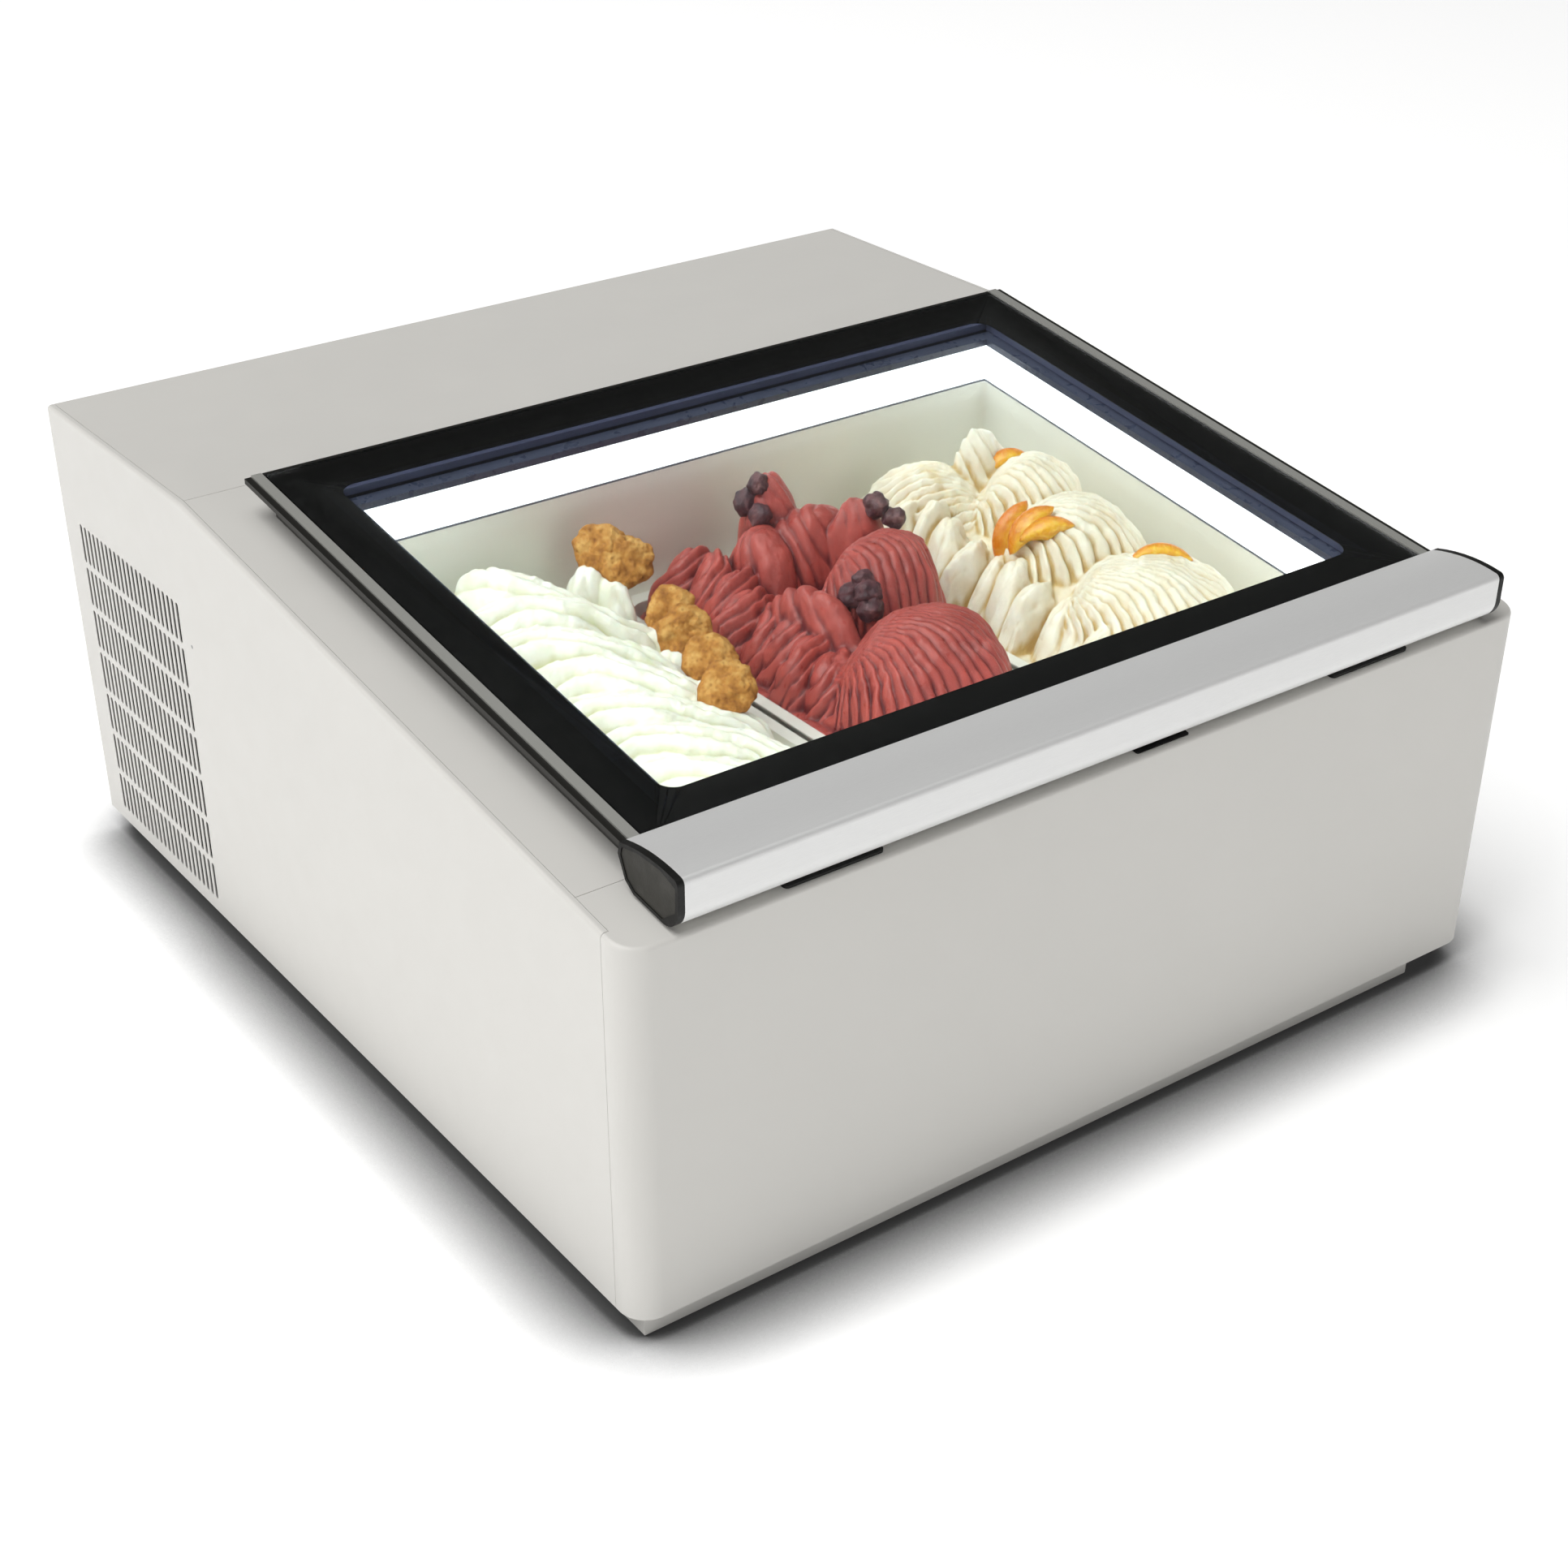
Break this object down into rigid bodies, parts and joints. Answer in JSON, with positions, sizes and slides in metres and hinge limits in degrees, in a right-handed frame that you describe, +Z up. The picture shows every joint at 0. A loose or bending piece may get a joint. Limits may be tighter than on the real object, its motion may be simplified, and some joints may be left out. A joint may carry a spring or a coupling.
{
  "type": "countertop gelato display freezer",
  "caption": "Low countertop display freezer with a sloping double-glazed lid hinged at the rear, full-width handle, lit tank and lift-out pans.",
  "frame": {"origin": "centre of the footprint, on the counter under the rubber feet", "axes": "+Z up, +X to the user's right seen from the front, -Y towards the user at the handle"},
  "size_m": [0.7, 0.744, 0.3638],
  "materials": {
    "casing": "smooth satin powder coat, warm white",
    "rubber": "matte black rubber",
    "zinc_sheet": "zinc coated sheet, dull",
    "screws": "plated screw heads",
    "brushed_metal": "dark anodised plate, left blank",
    "stainless": "satin stainless steel",
    "light_housing": "dark slate moulding",
    "diffuser": "opal light cover, lit",
    "circuit_strip": "white circuit strip",
    "copper": "drawn copper tube",
    "foam": "rigid polyurethane foam boards, matte and closed-cell",
    "gelato_pistachio": "pale gelato with green ripple",
    "gelato_berry": "berry gelato, ribbed",
    "gelato_cream": "cream yellow gelato",
    "cookie": "golden baked biscuit",
    "fruit": "berries and candied peel",
    "compressor_paint": "black paint on a steel can",
    "dark_plastic": "moulded black plastic",
    "fin_aluminium": "dark coated fin stock",
    "fan_plastic": "moulded fan blades",
    "display_window": "dark display window",
    "button_plastic": "moulded keys",
    "rocker_plastic": "red rocker",
    "hinge_steel": "hinge leaves",
    "glass": "clear toughened glass",
    "frit": "black printed border behind the glass",
    "spacer": "dark slate glazing spacer",
    "black_frame": "black anodised frame",
    "silver_trim": "satin anodised strip",
    "gasket": "soft black seal",
    "handle_aluminium": "satin anodised extrusion",
    "cap_plastic": "dark moulded end cap"
  },
  "bodies": {
    "cabinet": {"base_plinth": "casing", "rubber_feet": "rubber", "base_plate": "zinc_sheet", "side_panel_left": "casing", "side_panel_right": "casing", "front_panel": "casing", "slope_surround": "casing", "top_cover": "casing", "rear_panel": "casing", "cover_screws": "screws", "badge_plate": "brushed_metal", "lid_buffers": "rubber", "tank_liner": "stainless", "light_frame": "light_housing", "light_diffusers": "diffuser", "led_strips": "circuit_strip", "pan_rails": "stainless", "evaporator_coil": "copper", "foam_insulation": "foam", "pan_left": "stainless", "pan_middle": "stainless", "pan_right": "stainless", "gelato_left": "gelato_pistachio", "gelato_middle": "gelato_berry", "gelato_right": "gelato_cream", "cookies": "cookie", "fruit_pieces": "fruit", "partition_wall": "zinc_sheet", "compressor": "compressor_paint", "compressor_terminal_cover": "dark_plastic", "compressor_mounts": "rubber", "condenser_fins": "fin_aluminium", "condenser_tubes": "copper", "fan_shroud": "dark_plastic", "fan_motor": "dark_plastic", "filter_drier": "copper", "discharge_pipe": "copper", "liquid_pipe": "copper", "suction_pipe": "copper", "controller_housing": "dark_plastic", "controller_display": "display_window", "power_inlet": "dark_plastic", "cabinet_hinge_leaves": "hinge_steel"},
    "lid": {"lid_glass": "glass", "glass_border": "frit", "lower_glass": "glass", "glazing_spacer": "spacer", "lid_side_rails": "black_frame", "lid_cross_rails": "black_frame", "lid_trim_strips": "silver_trim", "lid_gasket": "gasket", "lid_handle": "handle_aluminium", "handle_caps": "cap_plastic", "lid_hinge_leaves": "hinge_steel"},
    "fan": {"fan_blade": "fan_plastic"},
    "power_switch": {"switch_rocker": "rocker_plastic"},
    "up_button": {"button_up": "button_plastic"},
    "down_button": {"button_down": "button_plastic"},
    "set_button": {"button_set": "button_plastic"},
    "defrost_button": {"button_defrost": "button_plastic"}
  },
  "joints": [
    {"name": "lid_hinge", "type": "hinge", "parent": "cabinet", "child": "lid", "pos_m": [0, 0.11209, 0.3461], "axis": [-1, 0, 0], "range_deg": [0, 70]},
    {"name": "fan_spin", "type": "hinge", "parent": "cabinet", "child": "fan", "pos_m": [-0.26, 0.256, 0.146], "axis": [1, 0, 0], "continuous": true},
    {"name": "switch_rock", "type": "hinge", "parent": "cabinet", "child": "power_switch", "pos_m": [0.285, 0.3664, 0.099], "axis": [1, 0, 0], "range_deg": [0, 14]},
    {"name": "up_press", "type": "slide", "parent": "cabinet", "child": "up_button", "axis": [0, -1, 0], "range_m": [0, 0.0008], "stiffness_N_per_m": 1200},
    {"name": "down_press", "type": "slide", "parent": "cabinet", "child": "down_button", "axis": [0, -1, 0], "range_m": [0, 0.0008], "stiffness_N_per_m": 1200},
    {"name": "set_press", "type": "slide", "parent": "cabinet", "child": "set_button", "axis": [0, -1, 0], "range_m": [0, 0.0008], "stiffness_N_per_m": 1200},
    {"name": "defrost_press", "type": "slide", "parent": "cabinet", "child": "defrost_button", "axis": [0, -1, 0], "range_m": [0, 0.0008], "stiffness_N_per_m": 1200}
  ]
}
